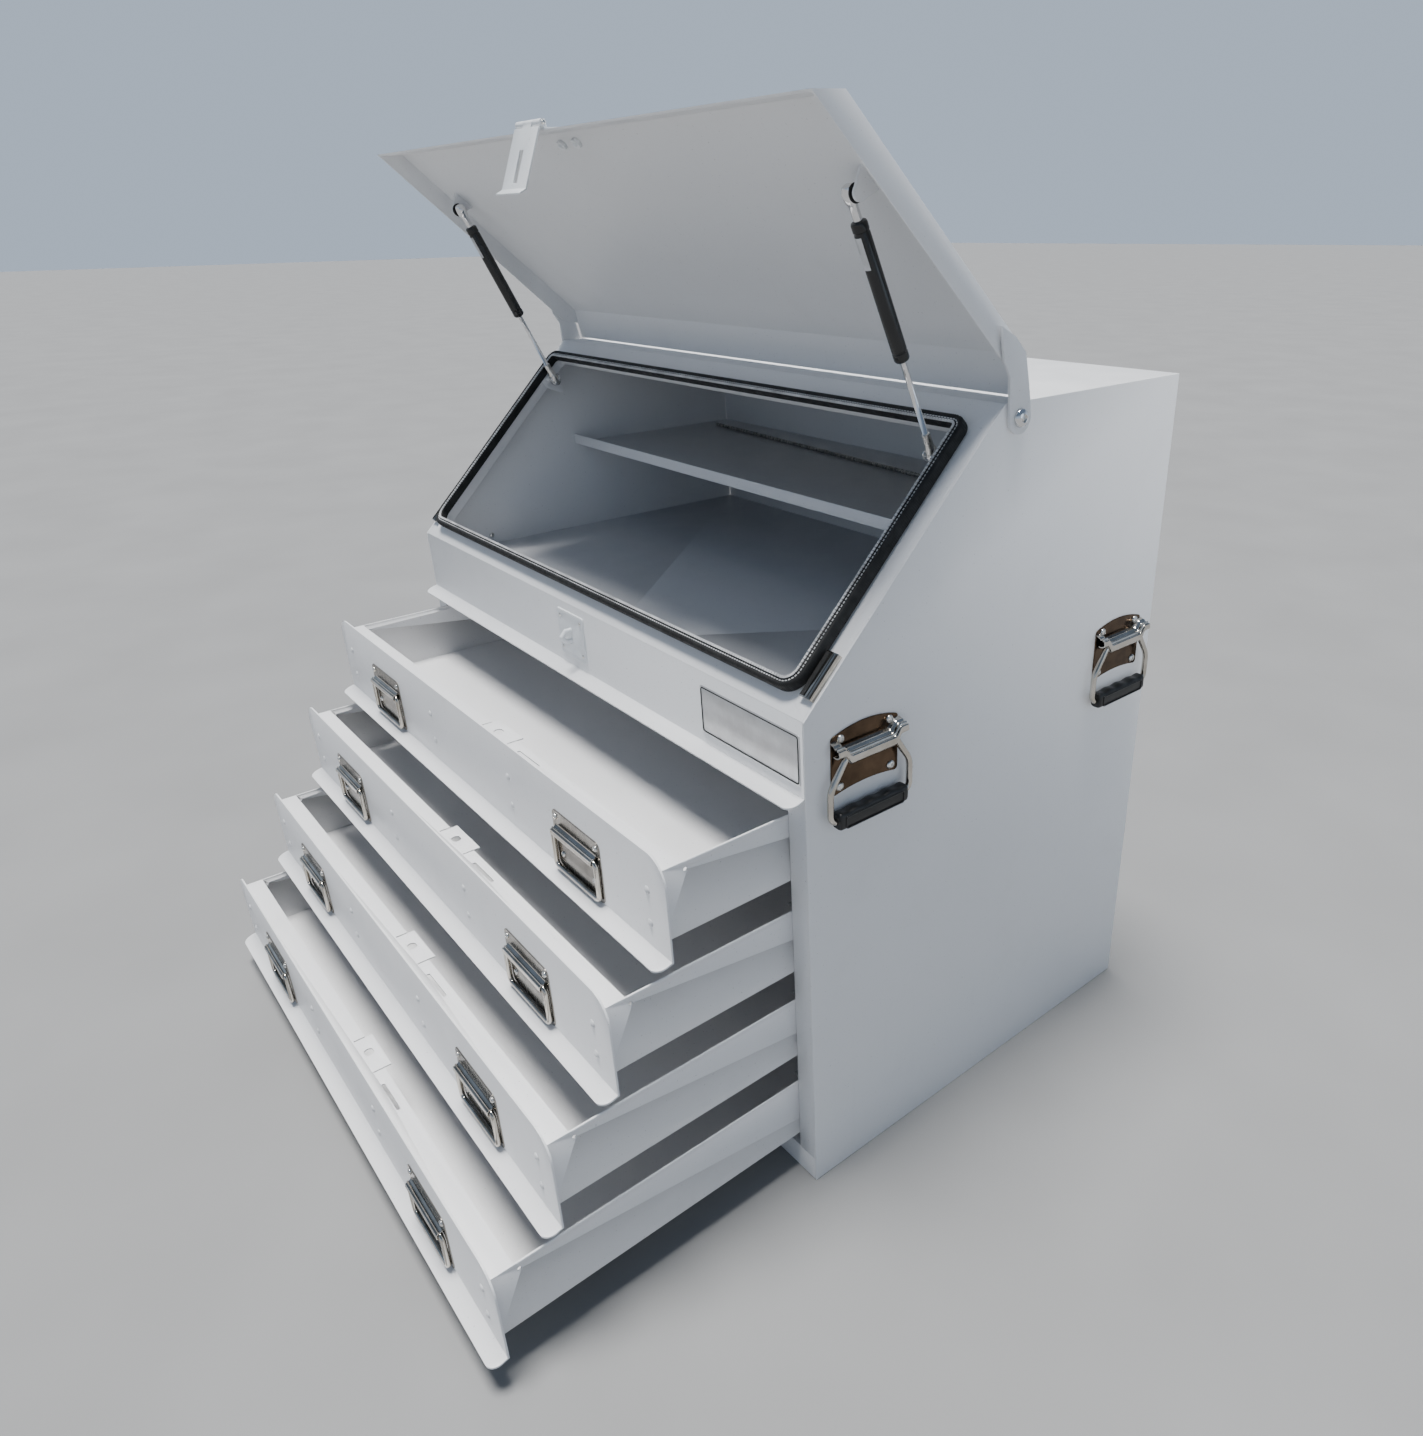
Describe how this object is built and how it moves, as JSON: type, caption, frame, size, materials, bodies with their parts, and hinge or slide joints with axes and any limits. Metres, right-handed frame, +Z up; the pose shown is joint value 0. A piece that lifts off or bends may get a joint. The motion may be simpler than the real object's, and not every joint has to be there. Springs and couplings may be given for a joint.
{
  "type": "truck toolbox",
  "caption": "White steel truck toolbox: gas-strutted sloping lid over a compartment with a shelf tray, a stack of drawers, folding pulls, carrying handles and a hasp.",
  "frame": {"origin": "centre of the base, on the floor", "axes": "+X to the right seen from the front, +Y to the back, +Z up"},
  "size_m": [0.9366, 0.9514, 1.1084],
  "materials": {
    "white_paint": "white powder coat, satin with a fine orange peel",
    "fastener_zinc": "bright zinc plate",
    "stainless": "polished stainless pressings",
    "chrome_rod": "ground and chromed piston rod",
    "strut_black": "gloss black paint",
    "seal_rubber": "black foam rubber bulb with a metal-cored grip",
    "grip_plastic": "black moulded grip",
    "runner_steel": "galvanised channel",
    "badge_blank": "blank anodised plate with a dark border"
  },
  "bodies": {
    "cabinet": {"side_panel_left": "white_paint", "side_panel_right": "white_paint", "back_panel": "white_paint", "top_panel": "white_paint", "base_pan": "white_paint", "face_frame": "white_paint", "slope_frame": "white_paint", "lid_seal": "seal_rubber", "compartment_floor": "white_paint", "shelf_tray": "white_paint", "drawer_runners": "runner_steel", "guide_plates": "stainless", "staple": "white_paint", "badge_plate": "badge_blank", "cabinet_fasteners": "fastener_zinc", "strut_wall_brackets": "white_paint", "side_handle_plates": "stainless"},
    "carry_handle_left_front": {"carry_bail_left_front": "stainless", "carry_grip_left_front": "grip_plastic"},
    "carry_handle_left_rear": {"carry_bail_left_rear": "stainless", "carry_grip_left_rear": "grip_plastic"},
    "carry_handle_right_front": {"carry_bail_right_front": "stainless", "carry_grip_right_front": "grip_plastic"},
    "carry_handle_right_rear": {"carry_bail_right_rear": "stainless", "carry_grip_right_rear": "grip_plastic"},
    "drawer_1": {"drawer_1_box": "white_paint", "drawer_1_front": "white_paint", "drawer_1_pull_plates": "stainless", "drawer_1_rivets": "white_paint"},
    "drawer_1_pull_left": {"drawer_1_bail_left": "stainless"},
    "drawer_1_pull_right": {"drawer_1_bail_right": "stainless"},
    "drawer_2": {"drawer_2_box": "white_paint", "drawer_2_front": "white_paint", "drawer_2_pull_plates": "stainless", "drawer_2_rivets": "white_paint"},
    "drawer_2_pull_left": {"drawer_2_bail_left": "stainless"},
    "drawer_2_pull_right": {"drawer_2_bail_right": "stainless"},
    "drawer_3": {"drawer_3_box": "white_paint", "drawer_3_front": "white_paint", "drawer_3_pull_plates": "stainless", "drawer_3_rivets": "white_paint"},
    "drawer_3_pull_left": {"drawer_3_bail_left": "stainless"},
    "drawer_3_pull_right": {"drawer_3_bail_right": "stainless"},
    "drawer_4": {"drawer_4_box": "white_paint", "drawer_4_front": "white_paint", "drawer_4_pull_plates": "stainless", "drawer_4_rivets": "white_paint"},
    "drawer_4_pull_left": {"drawer_4_bail_left": "stainless"},
    "drawer_4_pull_right": {"drawer_4_bail_right": "stainless"},
    "lid": {"lid_pan": "white_paint", "hinge_arms": "white_paint", "hasp_base": "white_paint", "lid_strut_brackets": "white_paint", "hasp_pin": "stainless"},
    "hasp_strap": {"hasp_strap": "white_paint"},
    "strut_rod_left": {"strut_rod_left": "chrome_rod"},
    "strut_cylinder_left": {"strut_cylinder_left": "strut_black"},
    "strut_rod_right": {"strut_rod_right": "chrome_rod"},
    "strut_cylinder_right": {"strut_cylinder_right": "strut_black"},
    "lock_rod": {"lock_rod": "fastener_zinc"}
  },
  "joints": [
    {"name": "carry_handle_left_front_lift", "type": "hinge", "parent": "cabinet", "child": "carry_handle_left_front", "pos_m": [-0.46, -0.2065, 0.541], "axis": [0, 1, 0], "range_deg": [0, 90]},
    {"name": "carry_handle_left_rear_lift", "type": "hinge", "parent": "cabinet", "child": "carry_handle_left_rear", "pos_m": [-0.46, 0.2115, 0.541], "axis": [0, 1, 0], "range_deg": [0, 90]},
    {"name": "carry_handle_right_front_lift", "type": "hinge", "parent": "cabinet", "child": "carry_handle_right_front", "pos_m": [0.46, -0.2065, 0.541], "axis": [0, -1, 0], "range_deg": [0, 90]},
    {"name": "carry_handle_right_rear_lift", "type": "hinge", "parent": "cabinet", "child": "carry_handle_right_rear", "pos_m": [0.46, 0.2115, 0.541], "axis": [0, -1, 0], "range_deg": [0, 90]},
    {"name": "drawer_1_slide", "type": "slide", "parent": "cabinet", "child": "drawer_1", "axis": [0, -1, 0], "range_m": [-0.15, 0.28]},
    {"name": "drawer_1_pull_left_lift", "type": "hinge", "parent": "drawer_1", "child": "drawer_1_pull_left", "pos_m": [-0.267, -0.4397, 0.437], "axis": [-1, 0, 0], "range_deg": [0, 90]},
    {"name": "drawer_1_pull_right_lift", "type": "hinge", "parent": "drawer_1", "child": "drawer_1_pull_right", "pos_m": [0.267, -0.4397, 0.437], "axis": [-1, 0, 0], "range_deg": [0, 90]},
    {"name": "drawer_2_slide", "type": "slide", "parent": "cabinet", "child": "drawer_2", "axis": [0, -1, 0], "range_m": [-0.2207, 0.2093]},
    {"name": "drawer_2_pull_left_lift", "type": "hinge", "parent": "drawer_2", "child": "drawer_2_pull_left", "pos_m": [-0.267, -0.5104, 0.321], "axis": [-1, 0, 0], "range_deg": [0, 90]},
    {"name": "drawer_2_pull_right_lift", "type": "hinge", "parent": "drawer_2", "child": "drawer_2_pull_right", "pos_m": [0.267, -0.5104, 0.321], "axis": [-1, 0, 0], "range_deg": [0, 90]},
    {"name": "drawer_3_slide", "type": "slide", "parent": "cabinet", "child": "drawer_3", "axis": [0, -1, 0], "range_m": [-0.2936, 0.1364]},
    {"name": "drawer_3_pull_left_lift", "type": "hinge", "parent": "drawer_3", "child": "drawer_3_pull_left", "pos_m": [-0.267, -0.5833, 0.205], "axis": [-1, 0, 0], "range_deg": [0, 90]},
    {"name": "drawer_3_pull_right_lift", "type": "hinge", "parent": "drawer_3", "child": "drawer_3_pull_right", "pos_m": [0.267, -0.5833, 0.205], "axis": [-1, 0, 0], "range_deg": [0, 90]},
    {"name": "drawer_4_slide", "type": "slide", "parent": "cabinet", "child": "drawer_4", "axis": [0, -1, 0], "range_m": [-0.3658, 0.0642]},
    {"name": "drawer_4_pull_left_lift", "type": "hinge", "parent": "drawer_4", "child": "drawer_4_pull_left", "pos_m": [-0.267, -0.6555, 0.089], "axis": [-1, 0, 0], "range_deg": [0, 90]},
    {"name": "drawer_4_pull_right_lift", "type": "hinge", "parent": "drawer_4", "child": "drawer_4_pull_right", "pos_m": [0.267, -0.6555, 0.089], "axis": [-1, 0, 0], "range_deg": [0, 90]},
    {"name": "lid_hinge", "type": "hinge", "parent": "cabinet", "child": "lid", "pos_m": [0, -0.0025, 0.832], "axis": [1, 0, 0], "range_deg": [0, 87.1]},
    {"name": "hasp_hang", "type": "hinge", "parent": "lid", "child": "hasp_strap", "pos_m": [0, -0.25802, 1.10462], "axis": [1, 0, 0], "range_deg": [-96, 0]},
    {"name": "strut_left_swing", "type": "hinge", "parent": "cabinet", "child": "strut_rod_left", "pos_m": [-0.399, -0.0665, 0.7955], "axis": [1, 0, 0], "range_deg": [0, 106.8]},
    {"name": "strut_left_extend", "type": "slide", "parent": "strut_rod_left", "child": "strut_cylinder_left", "axis": [0, -0.42, 0.9075], "range_m": [-0.0687, 0]},
    {"name": "strut_right_swing", "type": "hinge", "parent": "cabinet", "child": "strut_rod_right", "pos_m": [0.399, -0.0665, 0.7955], "axis": [1, 0, 0], "range_deg": [0, 106.8]},
    {"name": "strut_right_extend", "type": "slide", "parent": "strut_rod_right", "child": "strut_cylinder_right", "axis": [0, -0.42, 0.9075], "range_m": [-0.0687, 0]},
    {"name": "lock_rod_lift", "type": "slide", "parent": "cabinet", "child": "lock_rod", "axis": [0, 0, 1], "range_m": [0, 0.1]}
  ],
  "couplings": [
    {"joint": "hasp_hang", "follows": "lid_hinge", "ratio": -1.1},
    {"joint": "strut_left_swing", "follows": "lid_hinge", "ratio": 1.2227},
    {"joint": "strut_left_extend", "follows": "lid_hinge", "m_per_rad": -0.044996},
    {"joint": "strut_right_swing", "follows": "lid_hinge", "ratio": 1.2227},
    {"joint": "strut_right_extend", "follows": "lid_hinge", "m_per_rad": -0.044996}
  ]
}
